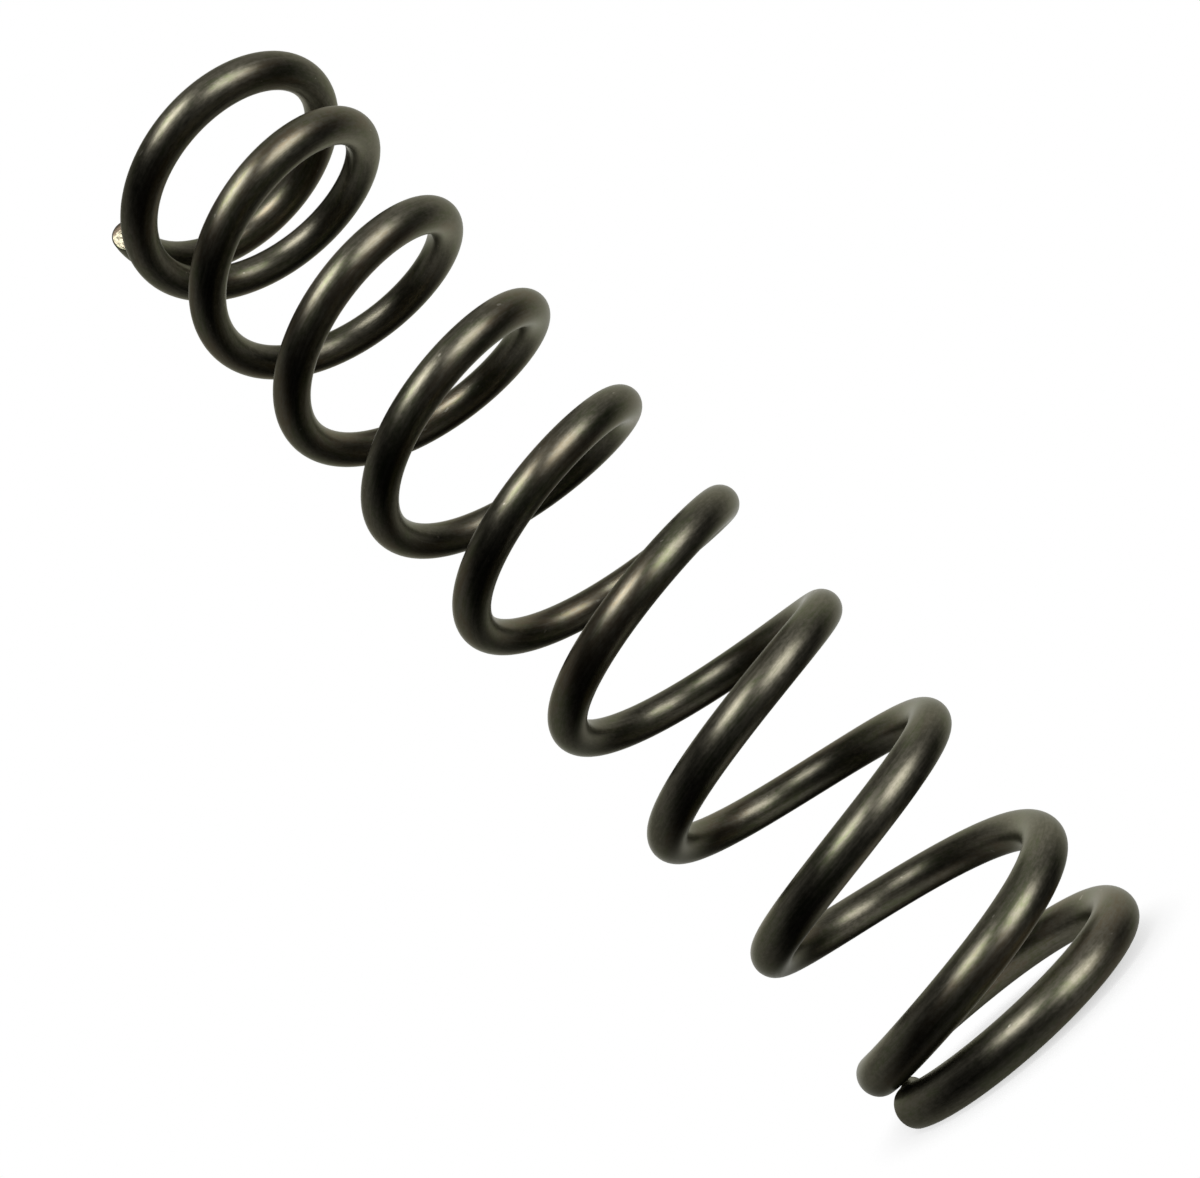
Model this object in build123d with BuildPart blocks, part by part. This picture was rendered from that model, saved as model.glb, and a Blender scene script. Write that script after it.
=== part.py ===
from build123d import *
from math import atan2, cos, pi, sin
import os

# Helical compression spring, coiled right-handed from one round steel wire.
# Both ends are closed: the cut end of the wire rests on the turn beside it.
# The ends are unground, so the wire keeps its round section to the cut.
# Millimetres. +Z is the coil's axis, and the spring stands on its lower end at Z = 0.
# +X points from the axis to the lower cut end of the wire.

# Driving dimensions of the wire and the coil
wire_diameter = 3.0
mean_diameter = 20.35
total_turns = 9.97
active_pitch = 11.2

# Driving dimensions of the two ends, in turns counted from each cut end
lower_closed_turns = 0.675
lower_opening_turns = 0.41
upper_closed_turns = 0.67
upper_opening_turns = 0.84

# Clearance between a cut end and the turn that it rests on
end_gap = 0.09

# Rounding that shearing leaves round a cut face
cut_edge_radius = 0.2

# Points of the centreline for each turn, enough to hold the helix to a hundredth of the wire
points_per_turn = 12

# Equal arcs that the round section is drawn in, which keeps the facets of the coil few
section_arcs = 4


# An end opens evenly from its own pitch to the active pitch over its opening turns.
# This is how many turns' worth of that opening lie within the first turns of an end.
def opened(turns, closed_turns, opening_turns):
    opening = min(max(turns - closed_turns, 0), opening_turns)
    past = max(turns - closed_turns - opening_turns, 0)
    return opening**2 / (2 * opening_turns) + past


# The pitch of a closed end, at which its first whole turn rises by the wire and the gap
def end_pitch(closed_turns, opening_turns):
    share = opened(1, closed_turns, opening_turns)
    return (wire_diameter + end_gap - active_pitch * share) / (1 - share)


# How far the centreline rises along the axis in the first turns of an end
def rise(turns, closed_turns, opening_turns):
    closed_pitch = end_pitch(closed_turns, opening_turns)
    extra = active_pitch - closed_pitch
    return closed_pitch * turns + extra * opened(turns, closed_turns, opening_turns)


mean_radius = mean_diameter / 2
wire_radius = wire_diameter / 2
middle_turn = total_turns / 2
lower_rise = rise(middle_turn, lower_closed_turns, lower_opening_turns)
upper_rise = rise(middle_turn, upper_closed_turns, upper_opening_turns)
lower_pitch = end_pitch(lower_closed_turns, lower_opening_turns)

# The wire is cut square across, so its lowest point is a little above the full radius
lower_lead_angle = atan2(lower_pitch, pi * mean_diameter)
base_height = wire_radius * cos(lower_lead_angle)
centreline_top = base_height + lower_rise + upper_rise


# The height of the centreline after a number of turns from the lower cut end
def height(turns):
    if turns <= middle_turn:
        return base_height + rise(turns, lower_closed_turns, lower_opening_turns)
    turns_left = total_turns - turns
    return centreline_top - rise(turns_left, upper_closed_turns, upper_opening_turns)


# The point of the centreline after a number of turns from the lower cut end
def centre_point(turns):
    angle = 2 * pi * turns
    return (mean_radius * cos(angle), mean_radius * sin(angle), height(turns))


# The spring: the wire's round section carried along the coil's centreline
with BuildPart() as spring:
    with BuildLine() as centreline:
        steps = round(total_turns * points_per_turn)
        coil = Spline([centre_point(total_turns * step / steps) for step in range(steps + 1)])
    cut_plane = Plane(origin=coil @ 0, z_dir=coil % 0)
    corners = [360 * corner / section_arcs for corner in range(section_arcs + 1)]
    arcs = [Edge.make_circle(wire_radius, cut_plane, *ends) for ends in zip(corners, corners[1:])]
    sweep(sections=Face(Wire(arcs)), path=coil, is_frenet=True)
    cut_faces = spring.faces().filter_by(GeomType.PLANE)
    fillet(cut_faces.edges(), radius=cut_edge_radius)

spring.part.label = "compression_spring"

os.makedirs("parts", exist_ok=True)
export_step(spring.part, "parts/compression_spring.step")
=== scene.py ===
"""A helical compression spring of dark steel wire, and the plain studio that it is shown in."""

import math

import bpy
import numpy as np
from bpy.props import FloatProperty, FloatVectorProperty, IntProperty, PointerProperty
from mathutils import Matrix, Vector


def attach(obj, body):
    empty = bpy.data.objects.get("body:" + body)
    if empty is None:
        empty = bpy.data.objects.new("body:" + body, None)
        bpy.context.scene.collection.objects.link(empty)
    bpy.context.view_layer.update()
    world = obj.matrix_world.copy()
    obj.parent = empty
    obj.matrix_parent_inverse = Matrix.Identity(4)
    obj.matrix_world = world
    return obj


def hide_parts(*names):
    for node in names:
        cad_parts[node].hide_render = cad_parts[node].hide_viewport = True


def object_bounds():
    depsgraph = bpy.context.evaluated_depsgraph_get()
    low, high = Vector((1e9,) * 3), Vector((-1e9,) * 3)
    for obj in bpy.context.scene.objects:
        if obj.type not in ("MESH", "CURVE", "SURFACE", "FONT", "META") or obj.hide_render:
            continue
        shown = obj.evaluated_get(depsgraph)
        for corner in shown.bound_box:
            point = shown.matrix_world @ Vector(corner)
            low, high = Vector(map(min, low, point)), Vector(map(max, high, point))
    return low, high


bl_info = {
    "name": "Compression Spring",
    "version": (1, 0, 0),
    "blender": (4, 5, 0),
    "location": "View3D > Sidebar > Spring",
    "description": "Coils a compression spring from dark steel wire and sets up its studio",
    "category": "Add Mesh",
}

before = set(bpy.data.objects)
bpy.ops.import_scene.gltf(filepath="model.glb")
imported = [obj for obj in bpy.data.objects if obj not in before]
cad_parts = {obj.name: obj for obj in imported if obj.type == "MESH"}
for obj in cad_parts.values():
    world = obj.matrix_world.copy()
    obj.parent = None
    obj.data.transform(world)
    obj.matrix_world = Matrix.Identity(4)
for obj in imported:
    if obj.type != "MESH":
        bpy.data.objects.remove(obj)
CAD_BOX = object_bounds()

MM = 0.001
PICTURE_WIDTH, PICTURE_HEIGHT = 1200, 1178
OUTSIDE_DIAMETER = CAD_BOX[1].x - CAD_BOX[0].x
WIRE_DIAMETER = 3.0 * MM

# How far the finished wire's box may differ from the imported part's
BOX_TOLERANCE = 0.3 * MM

# Name of the flat map that a bake uses
BAKE_MAP = "OFBake"

# Rings of vertices on each cut face, and round its rim
FACE_RINGS, RIM_RINGS = 20, 6
HEAD_ROWS = FACE_RINGS + RIM_RINGS

# Share of the rim's rounding that keeps its dark skin
DARK_RIM_SHARE = 0.9

# Seeds of the torn grain on the lower and the upper cut face
LOWER_SEED, UPPER_SEED = 3, 8

# Across a sheared face, as shares of the wire's radius: 1 is where the shear enters, -1 where it leaves
ROLL_START = 0.72
TEAR_DEEPENS = (0.4, -0.8)
BURR_EDGE = (-0.86, -0.98)

# How far from the burnish start the smooth band begins and is full, in its form and in its colour,
# and how ragged the grain makes the edge of its colour
BAND_FORM = (-0.12, 0.02)
BAND_COLOUR = (-0.1, 0.04)
BAND_RAGGEDNESS = 0.3

# Depth of the rolled edge, height of the burr, width of the finest grain in the torn part, and the
# share of the fracture depth that the torn part has where it begins
ROLL_DEPTH = 0.06 * MM
BURR_HEIGHT = 0.07 * MM
FINEST_GRAIN = 0.12 * MM
TEAR_START_SHARE = 0.45

# Patterns in the skin: repeats in a millimetre along and across the wire, detail, roughness
STREAKS = (0.12, 5.0, 4.0, 0.6)
PATCHES = (0.16, 0.5, 3.0, 0.5)
STAINS = (0.07, 0.3, 2.0, 0.5)
BLOOM = (0.22, 0.7, 3.0, 0.6)
GRAIN = (1.6, 3.4, 3.0, 0.75)
SPECKS = (1.1, 1.9, 1.0, 0.5)
FINE = (4.0, 14.0, 3.0, 0.5)

# Values of its pattern at which a mark begins to show and is full, and how strong it is there
THIN_EDGE = (0.4, 0.62)
STAIN_EDGE, STAIN_SHARE = (0.47, 0.61), 0.8
BLOOM_EDGE, BLOOM_SHARE = (0.47, 0.61), 0.7
NICK_EDGE, NICK_SHARE = (0.765, 0.80), 0.7
RUB_EDGE, RUB_SHARE = (0.56, 0.66), 0.8

# How much each pattern counts where the oxide is thin
THIN_STREAKS, THIN_PATCHES, THIN_GRAIN = 0.35, 0.15, 0.5

# How far each pattern and bare steel change the roughness
ROUGH_STREAKS, ROUGH_PATCHES, ROUGH_GRAIN, ROUGH_FINE = 0.12, 0.10, 0.10, 0.05
BARE_ROUGHNESS = 0.12

# How much each pattern counts in the marks of the skin, and how high and how strongly they stand
MARK_STREAKS, MARK_FINE, MARK_GRAIN = 0.4, 0.3, 0.3
MARK_HEIGHT, MARK_STRENGTH = 0.008 * MM, 0.6

# A quarter turn, which lays the widening of highlights round the wire
SHEEN_TURN = 0.25

FLOOR_CORNERS = 96


class SpringSizes(bpy.types.PropertyGroup):
    """The sizes of the wire, its coil and its two cut ends."""

    wire_diameter: FloatProperty(
        name="Wire diameter",
        description="Diameter of the round wire",
        default=WIRE_DIAMETER, min=0, unit="LENGTH")
    mean_diameter: FloatProperty(
        name="Mean diameter",
        description="Diameter of the coil at the middle of the wire",
        default=OUTSIDE_DIAMETER - WIRE_DIAMETER, min=0, unit="LENGTH")
    total_turns: FloatProperty(
        name="Total turns",
        description="Turns from one cut end to the other",
        default=9.97, min=2)
    active_pitch: FloatProperty(
        name="Active pitch",
        description="Rise of each turn in the open middle of the coil",
        default=11.2 * MM, min=0, unit="LENGTH")
    lower_closed_turns: FloatProperty(
        name="Lower closed turns",
        description="Turns that lie closed at the lower end",
        default=0.675)
    lower_opening_turns: FloatProperty(
        name="Lower opening turns",
        description="Turns over which the lower end opens",
        default=0.41)
    upper_closed_turns: FloatProperty(
        name="Upper closed turns",
        description="Turns that lie closed at the upper end",
        default=0.67)
    upper_opening_turns: FloatProperty(
        name="Upper opening turns",
        description="Turns over which the upper end opens",
        default=0.84)
    end_gap: FloatProperty(
        name="End gap",
        description="Clearance between a cut end and the turn beside it",
        default=0.09 * MM, unit="LENGTH")
    cut_edge_radius: FloatProperty(
        name="Cut edge radius",
        description="Rounding round each sheared face",
        default=0.2 * MM, min=0, unit="LENGTH")
    burnish_start: FloatProperty(
        name="Burnish start",
        description="Where the smooth band of a sheared face begins, as a share of the radius",
        default=0.5, subtype="FACTOR")
    fracture_depth: FloatProperty(
        name="Fracture depth",
        description="How far the torn part of a sheared face lies behind its smooth band",
        default=0.12 * MM, unit="LENGTH")
    fracture_roughness: FloatProperty(
        name="Fracture roughness",
        description="Height of the grains in the torn part of a sheared face",
        default=0.014 * MM, unit="LENGTH")
    lip_height: FloatProperty(
        name="Lip height",
        description="How far the shear pushed the lower cut end out towards the turn beside it",
        default=0.5 * MM, min=0, unit="LENGTH")
    lip_length: FloatProperty(
        name="Lip length",
        description="Length of wire over which that lip dies away",
        default=2.4 * MM, unit="LENGTH")
    lip_place: FloatProperty(
        name="Lip place",
        description="Middle of the lip round the wire, from outward towards up",
        default=math.radians(130), subtype="ANGLE", unit="ROTATION")
    lip_reach: FloatProperty(
        name="Lip reach",
        description="From the middle of the lip to where it ends on either side",
        default=math.radians(41), subtype="ANGLE", unit="ROTATION")
    rings_per_turn: IntProperty(
        name="Rings per turn",
        description="Rings of vertices in each turn of the wire",
        default=144, min=16)
    sides: IntProperty(
        name="Sides",
        description="Vertices round the wire",
        default=56, min=8)


class WireFinish(bpy.types.PropertyGroup):
    """The colours and the sheen of the wire."""

    oxide: FloatVectorProperty(
        name="Oxide",
        description="Colour of the dark oxide skin",
        default=(0.090, 0.085, 0.062), subtype="COLOR")
    olive: FloatVectorProperty(
        name="Olive bloom",
        description="Colour of the faint green bloom on the oxide",
        default=(0.095, 0.106, 0.057), subtype="COLOR")
    thin_oxide: FloatVectorProperty(
        name="Thin oxide",
        description="Colour where drawing has left the oxide thin",
        default=(0.147, 0.136, 0.104), subtype="COLOR")
    brown: FloatVectorProperty(
        name="Brown stain",
        description="Colour of the faint brown tempering stains",
        default=(0.131, 0.104, 0.068), subtype="COLOR")
    nick: FloatVectorProperty(
        name="Nick",
        description="Colour of the small rubbed specks",
        default=(0.30, 0.28, 0.23), subtype="COLOR")
    bare_steel: FloatVectorProperty(
        name="Bare steel",
        description="Colour of the torn steel on a sheared face",
        default=(0.42, 0.385, 0.28), subtype="COLOR")
    burnished_steel: FloatVectorProperty(
        name="Burnished steel",
        description="Colour of the rubbed band on a sheared face",
        default=(0.16, 0.125, 0.09), subtype="COLOR")
    rim_tint: FloatVectorProperty(
        name="Rim tint",
        description="Share of light that the skin gives back at a glancing angle",
        default=(0.7, 0.7, 0.62), subtype="COLOR")
    drawn_sheen: FloatProperty(
        name="Drawn sheen",
        description="How much wider highlights are round the wire than along it",
        default=0.5, subtype="FACTOR")
    roughness: FloatProperty(
        name="Roughness",
        description="Roughness of the oxide skin",
        default=0.36, subtype="FACTOR")


class StudioSetting(bpy.types.PropertyGroup):
    """The camera, the lamps and the surroundings."""

    aim: FloatVectorProperty(
        name="Aim",
        description="Point on the camera's line of sight",
        default=(9.865 * MM, -3.005 * MM, 45.565 * MM), subtype="TRANSLATION", unit="LENGTH")
    distance: FloatProperty(
        name="Distance",
        description="From the aim to the camera",
        default=110.9 * MM, unit="LENGTH")
    azimuth: FloatProperty(
        name="Azimuth",
        description="Direction of the camera round the spring, from -Y towards +X",
        default=math.radians(163.06), subtype="ANGLE", unit="ROTATION")
    elevation: FloatProperty(
        name="Elevation",
        description="Height of the camera above the aim, as an angle",
        default=math.radians(-13.377), subtype="ANGLE", unit="ROTATION")
    roll: FloatProperty(
        name="Roll",
        description="Turn of the camera about its line of sight",
        default=math.radians(-41.73), subtype="ANGLE", unit="ROTATION")
    focal_length_px: FloatProperty(
        name="Focal length",
        description="In pixels of the picture",
        default=1408.9)
    principal_x_px: FloatProperty(
        name="Principal point X",
        description="Where the line of sight meets the picture, from its left edge",
        default=503.7)
    principal_y_px: FloatProperty(
        name="Principal point Y",
        description="Where the line of sight meets the picture, from its top edge",
        default=658.5)
    key_place: FloatVectorProperty(
        name="Key lamp",
        description="Place of the key lamp",
        default=(79 * MM, 153 * MM, 169 * MM), subtype="TRANSLATION", unit="LENGTH")
    key_size: FloatVectorProperty(
        name="Key lamp size",
        description="Width and height of the key lamp",
        default=(120 * MM, 84 * MM), size=2, unit="LENGTH")
    key_strength: FloatProperty(
        name="Key lamp strength",
        description="Light that the key lamp throws on the spring, where pi is full white",
        default=2.4)
    side_place: FloatVectorProperty(
        name="Side lamp",
        description="Place of the side lamp",
        default=(-105 * MM, 208 * MM, 39 * MM), subtype="TRANSLATION", unit="LENGTH")
    side_size: FloatVectorProperty(
        name="Side lamp size",
        description="Width and height of the side lamp",
        default=(165 * MM, 140 * MM), size=2, unit="LENGTH")
    side_strength: FloatProperty(
        name="Side lamp strength",
        description="Light that the side lamp throws on the spring, where pi is full white",
        default=2.4)
    room_strength: FloatProperty(
        name="Room strength",
        description="Light that the white room throws on the spring and the floor",
        default=0.06)
    floor_colour: FloatVectorProperty(
        name="Floor colour",
        description="Colour of the pale floor",
        default=(0.85, 0.85, 0.85), subtype="COLOR")
    floor_whiteness: FloatProperty(
        name="Floor whiteness",
        description="Share of the floor's look that is plain white, with the rest lit as paint",
        default=0.5, subtype="FACTOR")
    floor_edge: FloatVectorProperty(
        name="Floor edge",
        description="Distances from the coil's axis between which the floor fades into the room",
        default=(6 * MM, 15 * MM), size=2, unit="LENGTH")
    backdrop_way: FloatVectorProperty(
        name="Backdrop way",
        description="Direction of the middle of the white backdrop, behind the spring",
        default=(-0.62, -0.71, 0.32), subtype="DIRECTION")
    backdrop_edge: FloatVectorProperty(
        name="Backdrop edge",
        description="Cosines of the angles from its middle at which the backdrop ends and is full",
        default=(0.45, 1.0), size=2)
    backdrop_strength: FloatProperty(
        name="Backdrop strength",
        description="Brightness of the backdrop in the wire",
        default=0.9)
    wall_way: FloatVectorProperty(
        name="Wall way",
        description="Direction of the middle of the side wall",
        default=(0.32, -0.86, 0.4), subtype="DIRECTION")
    wall_edge: FloatVectorProperty(
        name="Wall edge",
        description="Cosines of the angles from its middle at which the wall ends and is full",
        default=(0.3, 1.0), size=2)
    wall_strength: FloatProperty(
        name="Wall strength",
        description="Brightness of the side wall in the wire",
        default=0.4)
    ceiling_way: FloatVectorProperty(
        name="Ceiling way",
        description="Direction of the middle of the ceiling, which the rolled camera has above it",
        default=(-0.53, 0.52, 0.67), subtype="DIRECTION")
    ceiling_edge: FloatVectorProperty(
        name="Ceiling edge",
        description="Cosines of the angles from its middle at which the ceiling ends and is full",
        default=(0.4, 1.0), size=2)
    ceiling_strength: FloatProperty(
        name="Ceiling strength",
        description="Brightness of the ceiling in the wire",
        default=0.45)


class Coil:
    """The centreline of the wire, with +Z up the coil's axis and the lower cut end at +X."""

    def __init__(self, sizes):
        self.radius = sizes.mean_diameter / 2
        self.wire_radius = sizes.wire_diameter / 2
        self.turns = sizes.total_turns
        self.active_pitch = sizes.active_pitch
        self.first_rise = sizes.wire_diameter + sizes.end_gap
        self.lower = (sizes.lower_closed_turns, sizes.lower_opening_turns)
        self.upper = (sizes.upper_closed_turns, sizes.upper_opening_turns)
        lead = math.atan2(self.closed_pitch(*self.lower), 2 * math.pi * self.radius)
        self.base = self.wire_radius * math.cos(lead)
        middle = np.array(self.turns / 2)
        self.top = self.base + float(self.rise(middle, *self.lower) + self.rise(middle, *self.upper))

    def opened(self, turns, closed_turns, opening_turns):
        """Turns' worth of opening within the first turns of an end. The opening grows evenly from
        none after the closed turns to full after the opening turns, so it adds up to a parabola and
        then a straight line."""
        opening = np.clip(turns - closed_turns, 0, opening_turns)
        past = np.maximum(turns - closed_turns - opening_turns, 0)
        return opening**2 / (2 * opening_turns) + past

    def closed_pitch(self, closed_turns, opening_turns):
        """The pitch of a closed end, at which its first whole turn rises by the wire and the gap."""
        share = float(self.opened(np.array(1.0), closed_turns, opening_turns))
        return (self.first_rise - self.active_pitch * share) / (1 - share)

    def rise(self, turns, closed_turns, opening_turns):
        """Rise of the centreline in the first turns of an end: the closed pitch times the turns, and
        the rest of the active pitch times the turns' worth of opening."""
        closed = self.closed_pitch(closed_turns, opening_turns)
        extra = self.active_pitch - closed
        return closed * turns + extra * self.opened(turns, closed_turns, opening_turns)

    def pitch(self, turns, closed_turns, opening_turns):
        """Slope of the rise: the closed pitch, then an even change to the active pitch."""
        closed = self.closed_pitch(closed_turns, opening_turns)
        opening = np.clip((turns - closed_turns) / opening_turns, 0, 1)
        return closed + (self.active_pitch - closed) * opening

    def centreline(self, turns):
        """Points, tangents, outward normals and upward normals at these turns from the lower cut end.
        The point is the mean radius times the cosine and sine of the turned angle, at the height that
        the nearer end's rise gives. The tangent is the point's rate of change, brought to length 1. The
        outward normal points away from the coil's axis, and the upward normal is square to both."""
        angle = 2 * math.pi * turns
        lower_half = turns <= self.turns / 2
        left = self.turns - turns
        from_base = self.base + self.rise(turns, *self.lower)
        from_top = self.top - self.rise(left, *self.upper)
        height = np.where(lower_half, from_base, from_top)
        slope = np.where(lower_half, self.pitch(turns, *self.lower), self.pitch(left, *self.upper))
        points = np.stack([self.radius * np.cos(angle), self.radius * np.sin(angle), height], axis=-1)
        round_way = 2 * math.pi * self.radius
        tangents = np.stack([-round_way * np.sin(angle), round_way * np.cos(angle), slope], axis=-1)
        tangents /= np.linalg.norm(tangents, axis=-1, keepdims=True)
        outward = np.stack([np.cos(angle), np.sin(angle), np.zeros_like(angle)], axis=-1)
        return points, tangents, outward, np.cross(outward, tangents)

    def first_turn_length(self):
        """Length of wire in a closed turn: the hypotenuse of its circumference and its pitch."""
        return math.hypot(2 * math.pi * self.radius, self.closed_pitch(*self.lower))


def smooth_step(low, high, x):
    """0 at low and before it, 1 at high and past it, and between them three times the square less
    twice the cube of the way. It falls with x where low is the greater of the two."""
    way = np.clip((x - low) / (high - low), 0, 1)
    return way * way * (3 - 2 * way)


def grains(across, up, seed, finest, waves=40, widest=5):
    """A rough field, mostly between -1.5 and 1.5: the sum of sine waves of the plane over the root of
    their count. Their directions, phases and lengths come from a seeded generator, and each is at
    least as long as the finest and at most the widest times that."""
    draw = np.random.default_rng(seed)
    heading, phase = draw.uniform(0, 2 * math.pi, (2, waves))
    wave_number = 2 * math.pi / (finest * draw.uniform(1, widest, waves))
    way = across[..., None] * np.cos(heading) + up[..., None] * np.sin(heading)
    return np.sin(way * wave_number + phase).sum(axis=-1) / math.sqrt(waves)


def lip_swell(way, round_wire, wire_radius, sizes):
    """How many times wider the wire is at its lower cut end than farther up. The lip adds its height
    to the radius in its middle at the cut, and falls with a smooth step round the wire and another
    along it."""
    beside = smooth_step(sizes.lip_reach, 0, np.abs(round_wire - sizes.lip_place))
    return 1 + sizes.lip_height / wire_radius * beside * smooth_step(sizes.lip_length, 0, way)


def sheared_relief(across, stroke, wire_radius, sizes, seed):
    """Height of a sheared face over its plane, along the wire and outwards. The shear enters where
    stroke is highest: there a smooth band rolls over the rim. Past the band the face steps back by a
    growing share of the fracture depth, with a field of grains on it, and it ends in a low burr where
    the shear left."""
    share = stroke / wire_radius
    rolled = -ROLL_DEPTH * smooth_step(ROLL_START, 1.0, share)
    band_edge = [sizes.burnish_start + blend for blend in BAND_FORM]
    torn = 1 - smooth_step(*band_edge, share)
    deep = TEAR_START_SHARE + (1 - TEAR_START_SHARE) * smooth_step(*TEAR_DEEPENS, share)
    rough = sizes.fracture_roughness * grains(across, stroke, seed, FINEST_GRAIN)
    burr = BURR_HEIGHT * smooth_step(*BURR_EDGE, share)
    return rolled + torn * (rough - sizes.fracture_depth * deep) + burr


def wire_rows(coil, sizes):
    """The rows of the wire's skin from one cut face to the other, as four arrays: the turn of each
    row, its radius, the share of the sheared face's relief that it takes, and its distance over the
    skin from the middle of the nearer face, which stops growing at the rim. The rows run from near
    the middle of the lower face out to its rim, a quarter circle round the rim, evenly up the coil,
    and the same way in again."""
    edge = sizes.cut_edge_radius
    flat_radius = coil.wire_radius - edge
    face_radius = flat_radius * np.arange(1, FACE_RINGS + 1) / FACE_RINGS
    quarter = np.linspace(0, math.pi / 2, RIM_RINGS + 2)[1:-1]
    rim_radius = flat_radius + edge * np.sin(quarter)
    edge_turns = edge / coil.first_turn_length()
    rim_turns = edge_turns * (1 - np.cos(quarter))
    steps = round(coil.turns * sizes.rings_per_turn)
    body_turns = np.linspace(edge_turns, coil.turns - edge_turns, steps + 1)
    body = np.ones(steps + 1)
    head_turns = np.concatenate([np.zeros(FACE_RINGS), rim_turns])
    head_radius = np.concatenate([face_radius, rim_radius])
    head_relief = np.concatenate([np.ones(FACE_RINGS), np.cos(quarter) ** 2])
    head_spread = np.concatenate([face_radius, flat_radius + edge * quarter])
    body_spread = (flat_radius + edge * math.pi / 2) * body
    turns = np.concatenate([head_turns, body_turns, coil.turns - head_turns[::-1]])
    radius = np.concatenate([head_radius, coil.wire_radius * body, head_radius[::-1]])
    relief = np.concatenate([head_relief, 0 * body, head_relief[::-1]])
    spread = np.concatenate([head_spread, body_spread, head_spread[::-1]])
    return turns, radius, relief, spread


def wire_skin(coil, sizes, rows):
    """Vertices of the wire, where each lay before the wire was coiled, and 1 where the shear left it
    bare. A row is a circle of its radius round the centreline, in the plane of the outward and upward
    normals, swollen by the lip near the lower cut. Rows of the cut faces move along the wire by the
    face's relief. Before coiling, the same point lay at its length along the wire, and at its outward
    and upward place in the section. One more vertex closes the middle of each face."""
    turns, radius, relief, _ = rows
    points, tangents, outward, upward = (line[:, None, :] for line in coil.centreline(turns))
    round_wire = 2 * math.pi * np.arange(sizes.sides) / sizes.sides
    run = np.linalg.norm(np.diff(points[:, 0], axis=0), axis=-1)
    length = np.concatenate([[0.0], np.cumsum(run)])[:, None]
    reach = radius[:, None] * lip_swell(length, round_wire, coil.wire_radius, sizes)
    out = reach * np.cos(round_wire)
    up = reach * np.sin(round_wire)
    lower_end = (turns < coil.turns / 2)[:, None]
    stroke = np.where(lower_end, -up, up)
    lower_height = sheared_relief(out, stroke, coil.wire_radius, sizes, LOWER_SEED)
    upper_height = sheared_relief(out, stroke, coil.wire_radius, sizes, UPPER_SEED)
    height = np.where(lower_end, lower_height, upper_height)
    along = np.where(lower_end, -1, 1) * relief[:, None] * height
    skin = points + out[..., None] * outward + up[..., None] * upward + along[..., None] * tangents
    drawn = np.stack(np.broadcast_arrays(length + along, out, up), axis=-1)
    poles = skin[[0, -1]].mean(axis=1)
    drawn_poles = drawn[[0, -1]].mean(axis=1)
    vertices = np.concatenate([skin.reshape(-1, 3), poles])
    drawn = np.concatenate([drawn.reshape(-1, 3), drawn_poles])
    bare_radius = coil.wire_radius - DARK_RIM_SHARE * sizes.cut_edge_radius
    bare_rows = np.where(radius <= bare_radius, 1.0, 0.0)
    bare = np.concatenate([np.repeat(bare_rows, sizes.sides), [1.0, 1.0]])
    return vertices, drawn, bare


def skin_corners(rows, sides):
    """Rows and columns of the corners of the skin's quads, and of the triangles that close its two
    ends, all turned outwards. The middle of the lower end is row -1 and that of the upper end is the
    row after the last, both at any column."""
    low = np.arange(rows - 1)[:, None]
    column = np.arange(sides)
    quad_rows = np.stack([low, low + 1, low + 1, low], axis=-1).repeat(sides, axis=1)
    across = np.stack([column, column, column + 1, column + 1], axis=-1)
    quad_columns = across[None].repeat(rows - 1, axis=0)
    lower_rows = np.tile([0, 0, -1], (sides, 1))
    upper_rows = np.tile([rows - 1, rows - 1, rows], (sides, 1))
    lower_columns = np.stack([column, column + 1, column], axis=-1)
    upper_columns = np.stack([column + 1, column, column], axis=-1)
    fan_rows = np.concatenate([lower_rows, upper_rows])
    fan_columns = np.concatenate([lower_columns, upper_columns])
    return quad_rows.reshape(-1, 4), quad_columns.reshape(-1, 4), fan_rows, fan_columns


def skin_faces(rows, sides):
    """Faces of the skin. Its last column joins the first, and the two middles are the last two
    vertices."""
    quad_rows, quad_columns, fan_rows, fan_columns = skin_corners(rows, sides)
    quads = quad_rows * sides + quad_columns % sides
    fans = fan_rows * sides + fan_columns % sides
    fans = np.where(fan_rows == -1, rows * sides, np.where(fan_rows == rows, rows * sides + 1, fans))
    return quads.tolist() + fans.tolist()


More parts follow.
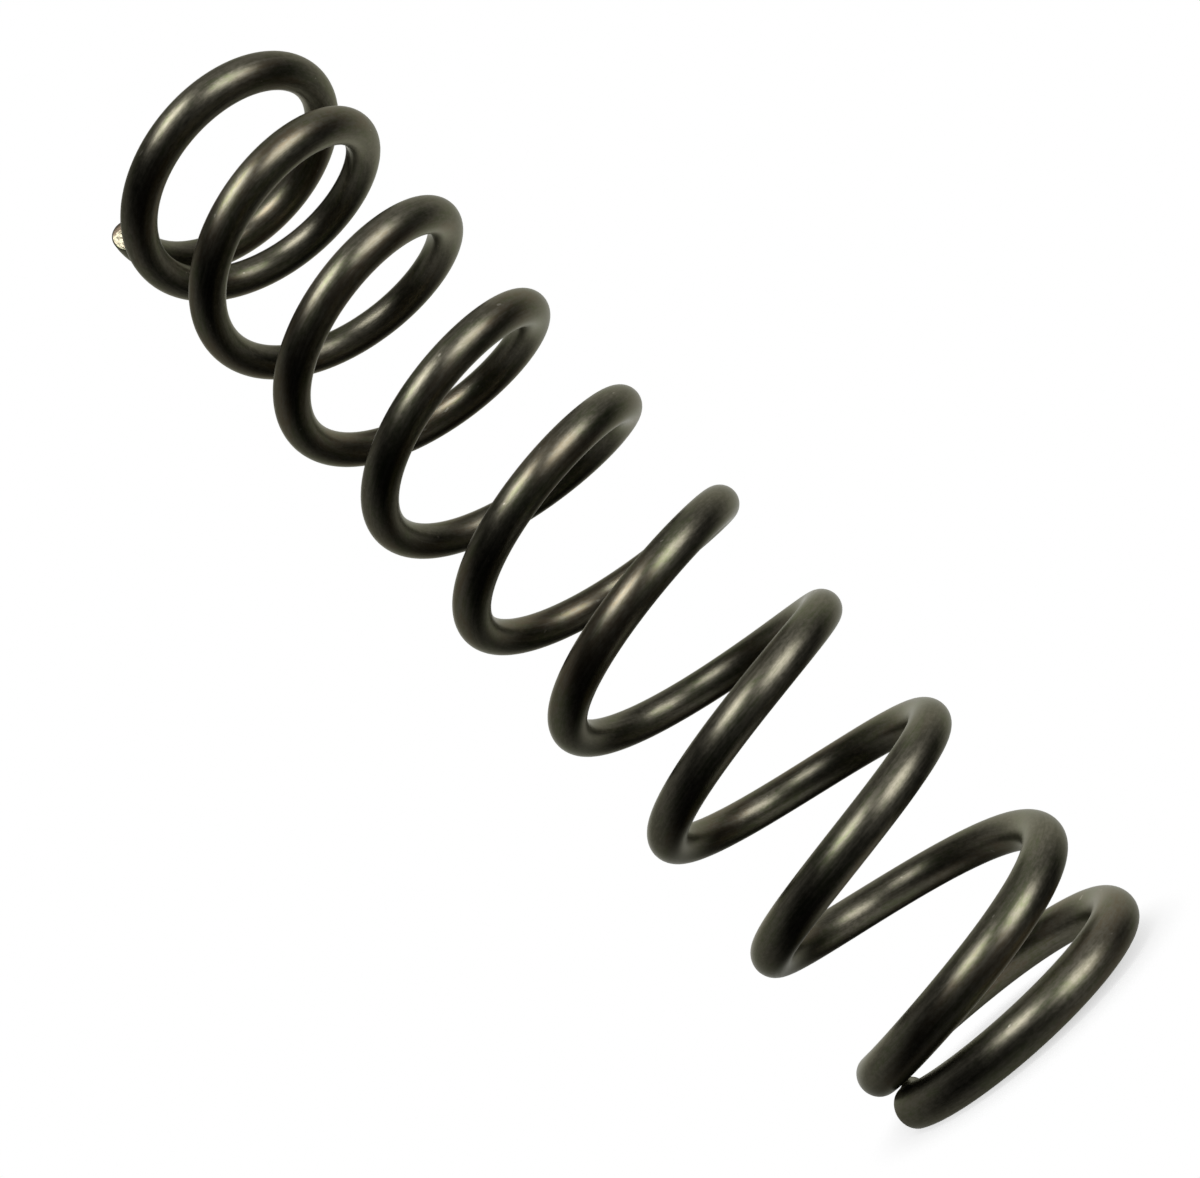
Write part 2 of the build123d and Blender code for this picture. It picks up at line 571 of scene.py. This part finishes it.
def unrolled(rows, sides, strip_turns=1.5, cap_share=0.12, gap=0.004):
    """Where each corner of the skin lies on the flat map that a bake uses. The side of the wire is
    slit along its length and cut into strips of equal turns, which lie above one another: across is
    the turn and up is the way round the wire. The two cut ends lie below them as discs, whose distance
    from the middle is the distance over the skin. The second disc is turned over, as it faces the
    other way."""
    turns, _, _, spread = rows
    quad_rows, quad_columns, fan_rows, fan_columns = skin_corners(len(turns), sides)
    corner_rows = np.concatenate([quad_rows.ravel(), fan_rows.ravel()])
    columns = np.concatenate([quad_columns.ravel(), fan_columns.ravel()])
    lowest_rows = np.concatenate([quad_rows.min(axis=1).repeat(4), fan_rows.min(axis=1).repeat(3)])
    inside = np.clip(corner_rows, 0, len(turns) - 1)
    strips = math.ceil(turns[-1] / strip_turns)
    strip = np.floor(turns[np.clip(lowest_rows, 0, None)] / strip_turns)
    strip_height = (1 - cap_share) / strips
    across = gap + (turns[inside] / strip_turns - strip) * (1 - 3 * gap)
    up = cap_share + strip_height * strip + gap / 2 + columns / sides * (strip_height - gap)
    lower_cap = lowest_rows < HEAD_ROWS
    upper_cap = lowest_rows >= len(turns) - HEAD_ROWS - 1
    pole = (corner_rows < 0) | (corner_rows == len(turns))
    from_middle = np.where(pole, 0, spread[inside]) / spread.max() * (cap_share / 2 - gap)
    angle = 2 * math.pi * columns / sides
    cap_middle = np.where(lower_cap, 0.5, 1.5) * cap_share
    cap_across = cap_middle + np.where(lower_cap, 1, -1) * from_middle * np.cos(angle)
    cap_up = cap_share / 2 + from_middle * np.sin(angle)
    on_cap = lower_cap | upper_cap
    return np.stack([np.where(on_cap, cap_across, across), np.where(on_cap, cap_up, up)], axis=-1)


def new_piece(name, vertices, faces):
    """A smooth-shaded mesh object from whole arrays, linked to the scene at the origin."""
    mesh = bpy.data.meshes.new(name)
    mesh.from_pydata(vertices.tolist(), [], faces)
    mesh.polygons.foreach_set("use_smooth", np.ones(len(mesh.polygons), dtype=bool))
    mesh.update()
    piece = bpy.data.objects.new(name, mesh)
    bpy.context.scene.collection.objects.link(piece)
    return piece


def keep_on_points(mesh, name, kind, field, values):
    """Stores one value or vector for each vertex, which materials read by its name."""
    attribute = mesh.attributes.new(name, kind, "POINT")
    attribute.data.foreach_set(field, values.astype(np.float32).ravel())


def keep_bake_map(mesh, places):
    """Stores the place of each corner of the faces on the flat map."""
    bake_map = mesh.uv_layers.new(name=BAKE_MAP)
    bake_map.uv.foreach_set("vector", places.astype(np.float32).ravel())


class Number:
    """A value that changes over a surface. Arithmetic on it adds Math nodes."""

    def __init__(self, board, socket):
        self.board = board
        self.socket = socket

    def math(self, operation, *others):
        """A Math node on this value and the others, which may be plain numbers."""
        operands = [other.socket if isinstance(other, Number) else other for other in others]
        sockets = dict(enumerate([self.socket, *operands]))
        return self.board.number("ShaderNodeMath", {"operation": operation}, sockets)

    def __add__(self, other):
        return self.math("ADD", other)

    __radd__ = __add__

    def __mul__(self, other):
        return self.math("MULTIPLY", other)

    __rmul__ = __mul__

    def __sub__(self, other):
        return self.math("SUBTRACT", other)

    def __rsub__(self, other):
        return (self * -1) + other

    def above(self, low, high):
        """0 below low and 1 above high, with a smooth step between."""
        settings = {"interpolation_type": "SMOOTHSTEP"}
        sockets = {"Value": self.socket, "From Min": low, "From Max": high}
        return self.board.number("ShaderNodeMapRange", settings, sockets)


class Board:
    """The node tree of one material or world, and the one method that adds its nodes."""

    def __init__(self, owner):
        owner.use_nodes = True
        self.tree = owner.node_tree
        self.tree.nodes.clear()

    def node(self, kind, settings=None, sockets=None):
        """Adds a node. Its settings come first, then the values or links of its sockets."""
        made = self.tree.nodes.new(kind)
        for name, value in (settings or {}).items():
            setattr(made, name, value)
        for name, value in (sockets or {}).items():
            value = value.socket if isinstance(value, Number) else value
            if isinstance(value, bpy.types.NodeSocket):
                self.tree.links.new(value, made.inputs[name])
            else:
                made.inputs[name].default_value = value
        return made

    def number(self, kind, settings=None, sockets=None, output=0):
        """Adds a node and wraps one of its outputs."""
        return Number(self, self.node(kind, settings, sockets).outputs[output])

    def mix(self, share, first, second):
        """A colour between two colours."""
        settings = {"data_type": "RGBA", "clamp_factor": True}
        made = self.node("ShaderNodeMix", settings, {"Factor": share})
        for name, value in (("A", first), ("B", second)):
            socket = next(s for s in made.inputs if s.name == name and s.type == "RGBA")
            if isinstance(value, bpy.types.NodeSocket):
                self.tree.links.new(value, socket)
            else:
                socket.default_value = (*value, 1.0)
        return next(s for s in made.outputs if s.type == "RGBA")

    def attribute(self, name, output):
        """An output of what a piece keeps on its points under this name."""
        return self.node("ShaderNodeAttribute", {"attribute_name": name}).outputs[output]

    def noise(self, place, along, across, detail, roughness):
        """Noise between 0 and 1 over a place. It repeats so many times in a millimetre along the wire
        and across it."""
        scale = (along / MM, across / MM, across / MM)
        mapped = self.node("ShaderNodeMapping", None, {"Vector": place, "Scale": scale}).outputs[0]
        sockets = {"Vector": mapped, "Scale": 1.0, "Detail": detail, "Roughness": roughness}
        return self.number("ShaderNodeTexNoise", None, sockets)

    def rays(self, *kinds):
        """1 for the rays of these kinds and 0 for all others."""
        path = self.node("ShaderNodeLightPath")
        either = sum(Number(self, path.outputs[f"Is {kind} Ray"]) for kind in kinds)
        return either.math("MINIMUM", 1.0)


def wire_material(finish, sizes):
    """Dark oxide skin with marks of drawing along the wire, and bare steel on the sheared faces."""
    material = bpy.data.materials.new("dark_spring_wire")
    board = Board(material)
    drawn = board.attribute("as_drawn", "Vector")
    bare = Number(board, board.attribute("bare", "Fac"))
    streaks = board.noise(drawn, *STREAKS)
    patches = board.noise(drawn, *PATCHES)
    stains = board.noise(drawn, *STAINS)
    bloom = board.noise(drawn, *BLOOM)
    grain = board.noise(drawn, *GRAIN)
    specks = board.noise(drawn, *SPECKS)
    fine = board.noise(drawn, *FINE)

    thinness = streaks * THIN_STREAKS + patches * THIN_PATCHES + grain * THIN_GRAIN
    thin = thinness.above(*THIN_EDGE)
    skin = board.mix(stains.above(*STAIN_EDGE) * STAIN_SHARE, finish.oxide, finish.brown)
    skin = board.mix(bloom.above(*BLOOM_EDGE) * BLOOM_SHARE, skin, finish.olive)
    skin = board.mix(thin, skin, finish.thin_oxide)
    skin = board.mix(specks.above(*NICK_EDGE) * NICK_SHARE, skin, finish.nick)

    section = board.node("ShaderNodeSeparateXYZ", None, {"Vector": drawn})
    up = Number(board, section.outputs["Z"])
    far_from_middle = up.math("ABSOLUTE") * (2 / sizes.wire_diameter)
    ragged = (grain - 0.5) * BAND_RAGGEDNESS + far_from_middle
    burnished = ragged.above(*[sizes.burnish_start + blend for blend in BAND_COLOUR])
    stained = board.mix(specks.above(*RUB_EDGE) * RUB_SHARE, finish.bare_steel, finish.burnished_steel)
    steel = board.mix(burnished, stained, finish.burnished_steel)

    coarse = (streaks - 0.5) * ROUGH_STREAKS + (patches - 0.5) * ROUGH_PATCHES
    uneven = coarse + (grain - 0.5) * ROUGH_GRAIN + (fine - 0.5) * ROUGH_FINE
    marks = streaks * MARK_STREAKS + fine * MARK_FINE + grain * MARK_GRAIN
    bump = board.node("ShaderNodeBump", None, {
        "Height": marks,
        "Distance": MARK_HEIGHT,
        "Strength": MARK_STRENGTH,
    })
    shader = board.node("ShaderNodeBsdfPrincipled", None, {
        "Base Color": board.mix(bare, skin, steel),
        "Metallic": 1.0,
        "Specular Tint": (*finish.rim_tint, 1),
        "Anisotropic": finish.drawn_sheen,
        "Anisotropic Rotation": SHEEN_TURN,
        "Roughness": uneven + bare * BARE_ROUGHNESS + finish.roughness,
        "Normal": bump.outputs[0],
    })
    board.node("ShaderNodeOutputMaterial", None, {"Surface": shader.outputs[0]})
    return material


class SPRING_OT_wire(bpy.types.Operator):
    """Coils the wire, shears its two ends and gives it its finish"""

    bl_idname = "spring.wire"
    bl_label = "Coil the Wire"

    def execute(self, context):
        sizes, finish = context.scene.spring_sizes, context.scene.spring_finish
        coil = Coil(sizes)
        rows = wire_rows(coil, sizes)
        vertices, drawn, bare = wire_skin(coil, sizes, rows)
        wire = new_piece("spring_wire", vertices, skin_faces(len(rows[0]), sizes.sides))
        box_size = CAD_BOX[1] - CAD_BOX[0]
        out_by = max(abs(mine - packed) for mine, packed in zip(wire.dimensions, box_size))
        if out_by > BOX_TOLERANCE:
            raise ValueError(f"The wire's box differs from the packed part's by {out_by / MM:.2f} mm")
        keep_on_points(wire.data, "as_drawn", "FLOAT_VECTOR", "vector", drawn)
        keep_on_points(wire.data, "bare", "FLOAT", "value", bare)
        keep_bake_map(wire.data, unrolled(rows, sizes.sides))
        wire.data.materials.append(wire_material(finish, sizes))
        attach(wire, "root")
        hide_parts("compression_spring")
        return {"FINISHED"}


def add_lamp(name, place, aim, size, strength):
    """An oval area lamp that faces the aim. Its strength is the light that it throws on a surface
    square to it there, and its power is pi times the distance squared times the strength."""
    lamp = bpy.data.lights.new(name, "AREA")
    lamp.shape = "ELLIPSE"
    lamp.size, lamp.size_y = size
    way = Vector(aim) - Vector(place)
    lamp.energy = math.pi * way.length_squared * strength
    made = bpy.data.objects.new(name, lamp)
    made.location = place
    made.visible_camera = False
    made.rotation_euler = way.to_track_quat("-Z", "Y").to_euler()
    bpy.context.scene.collection.objects.link(made)


def add_camera(studio):
    """A camera at its distance from the aim, in the direction of its azimuth and elevation, rolled
    about its line of sight. The lens is the focal length over the picture's width, and the shift is
    how far the principal point lies from the picture's middle, as a share of that width."""
    data = bpy.data.cameras.new("camera")
    data.lens = studio.focal_length_px / PICTURE_WIDTH * data.sensor_width
    data.shift_x = (PICTURE_WIDTH / 2 - studio.principal_x_px) / PICTURE_WIDTH
    data.shift_y = (studio.principal_y_px - PICTURE_HEIGHT / 2) / PICTURE_WIDTH
    data.clip_start = 1 * MM
    camera = bpy.data.objects.new("camera", data)
    level, rise = math.cos(studio.elevation), math.sin(studio.elevation)
    back = Vector((math.sin(studio.azimuth) * level, -math.cos(studio.azimuth) * level, rise))
    camera.location = Vector(studio.aim) + back * studio.distance
    turn = (-back).to_track_quat("-Z", "Y").to_matrix() @ Matrix.Rotation(studio.roll, 3, "Z")
    camera.rotation_euler = turn.to_euler()
    bpy.context.scene.collection.objects.link(camera)
    bpy.context.scene.camera = camera


def add_floor(studio):
    """A flat disc under the spring. Its pale paint fades out towards its edge, where the white room
    shows. Its whiteness is the share of it that is plain white when it is seen straight, in metal or
    through glass."""
    round_floor = 2 * math.pi * np.arange(FLOOR_CORNERS) / FLOOR_CORNERS
    rim = np.stack([np.cos(round_floor), np.sin(round_floor), np.zeros(FLOOR_CORNERS)], axis=-1)
    floor = new_piece("floor", studio.floor_edge[1] * rim, [list(range(FLOOR_CORNERS))])
    material = bpy.data.materials.new("pale_floor")
    board = Board(material)
    place = board.node("ShaderNodeTexCoord").outputs["Object"]
    away = board.number("ShaderNodeVectorMath", {"operation": "LENGTH"}, {0: place}, "Value")
    paint = board.node("ShaderNodeBsdfDiffuse", None, {"Color": (*studio.floor_colour, 1)})
    white = board.node("ShaderNodeEmission", None, {"Color": (1, 1, 1, 1), "Strength": 1.0})
    pale = board.node("ShaderNodeMixShader", None, {
        0: board.rays("Camera", "Glossy", "Transmission") * studio.floor_whiteness,
        1: paint.outputs[0],
        2: white.outputs[0],
    })
    faded = board.node("ShaderNodeMixShader", None, {
        0: away.above(*studio.floor_edge),
        1: pale.outputs[0],
        2: board.node("ShaderNodeBsdfTransparent").outputs[0],
    })
    board.node("ShaderNodeOutputMaterial", None, {"Surface": faded.outputs[0]})
    floor.data.materials.append(material)


def white_room(studio):
    """A world that the camera sees as plain white. Metal and glass see its white backdrop behind the
    spring, a wall at its side and a ceiling, which fade softly into the dark room in front. Each is
    brightest in one direction and fades with the cosine of the angle from it. Everything else is lit
    at the room's strength."""
    world = bpy.data.worlds.new("white_room")
    board = Board(world)
    way = board.node("ShaderNodeTexCoord").outputs["Generated"]

    def card(middle, edge, strength):
        """Brightness of one of them in every direction."""
        axis = tuple(Vector(middle).normalized())
        operation = {"operation": "DOT_PRODUCT"}
        towards = board.number("ShaderNodeVectorMath", operation, {0: way, 1: axis}, "Value")
        return towards.above(*edge) * strength

    backdrop = card(studio.backdrop_way, studio.backdrop_edge, studio.backdrop_strength)
    wall = card(studio.wall_way, studio.wall_edge, studio.wall_strength)
    ceiling = card(studio.ceiling_way, studio.ceiling_edge, studio.ceiling_strength)
    mirrored = board.rays("Glossy", "Transmission") * (backdrop + wall + ceiling)
    lit = (1 - board.rays("Camera", "Glossy", "Transmission")) * studio.room_strength
    strength = board.rays("Camera") + mirrored + lit
    light = board.node("ShaderNodeBackground", None, {"Color": (1, 1, 1, 1), "Strength": strength})
    board.node("ShaderNodeOutputWorld", None, {"Surface": light.outputs[0]})
    return world


class SPRING_OT_studio(bpy.types.Operator):
    """Sets the floor, the surroundings, the lamps and the camera"""

    bl_idname = "spring.studio"
    bl_label = "Set Up the Studio"

    def execute(self, context):
        studio = context.scene.spring_studio
        add_camera(studio)
        middle = (CAD_BOX[0] + CAD_BOX[1]) / 2
        add_lamp("key_lamp", studio.key_place, middle, studio.key_size, studio.key_strength)
        add_lamp("side_lamp", studio.side_place, middle, studio.side_size, studio.side_strength)
        add_floor(studio)
        context.scene.world = white_room(studio)
        context.scene.view_settings.view_transform = "Standard"
        return {"FINISHED"}


class SPRING_PT_panel(bpy.types.Panel):
    """Lists the steps that build the spring and its studio, each below the settings that it reads"""

    bl_idname = "SPRING_PT_panel"
    bl_label = "Compression Spring"
    bl_space_type = "VIEW_3D"
    bl_region_type = "UI"
    bl_category = "Spring"

    def draw(self, context):
        for step, groups in STEPS.items():
            for group in groups:
                box = self.layout.box()
                settings = getattr(context.scene, group)
                for name in SETTINGS[group].__annotations__:
                    box.prop(settings, name)
            self.layout.operator(step.bl_idname)


SETTINGS = {"spring_sizes": SpringSizes, "spring_finish": WireFinish, "spring_studio": StudioSetting}
STEPS = {SPRING_OT_wire: ("spring_sizes", "spring_finish"), SPRING_OT_studio: ("spring_studio",)}
CLASSES = (*SETTINGS.values(), *STEPS, SPRING_PT_panel)


def register():
    for kind in CLASSES:
        bpy.utils.register_class(kind)
    for name, kind in SETTINGS.items():
        setattr(bpy.types.Scene, name, PointerProperty(type=kind))


def unregister():
    for name in SETTINGS:
        delattr(bpy.types.Scene, name)
    for kind in reversed(CLASSES):
        bpy.utils.unregister_class(kind)


def main():
    register()
    bpy.ops.spring.wire()
    bpy.ops.spring.studio()


if __name__ == "__main__":
    main()
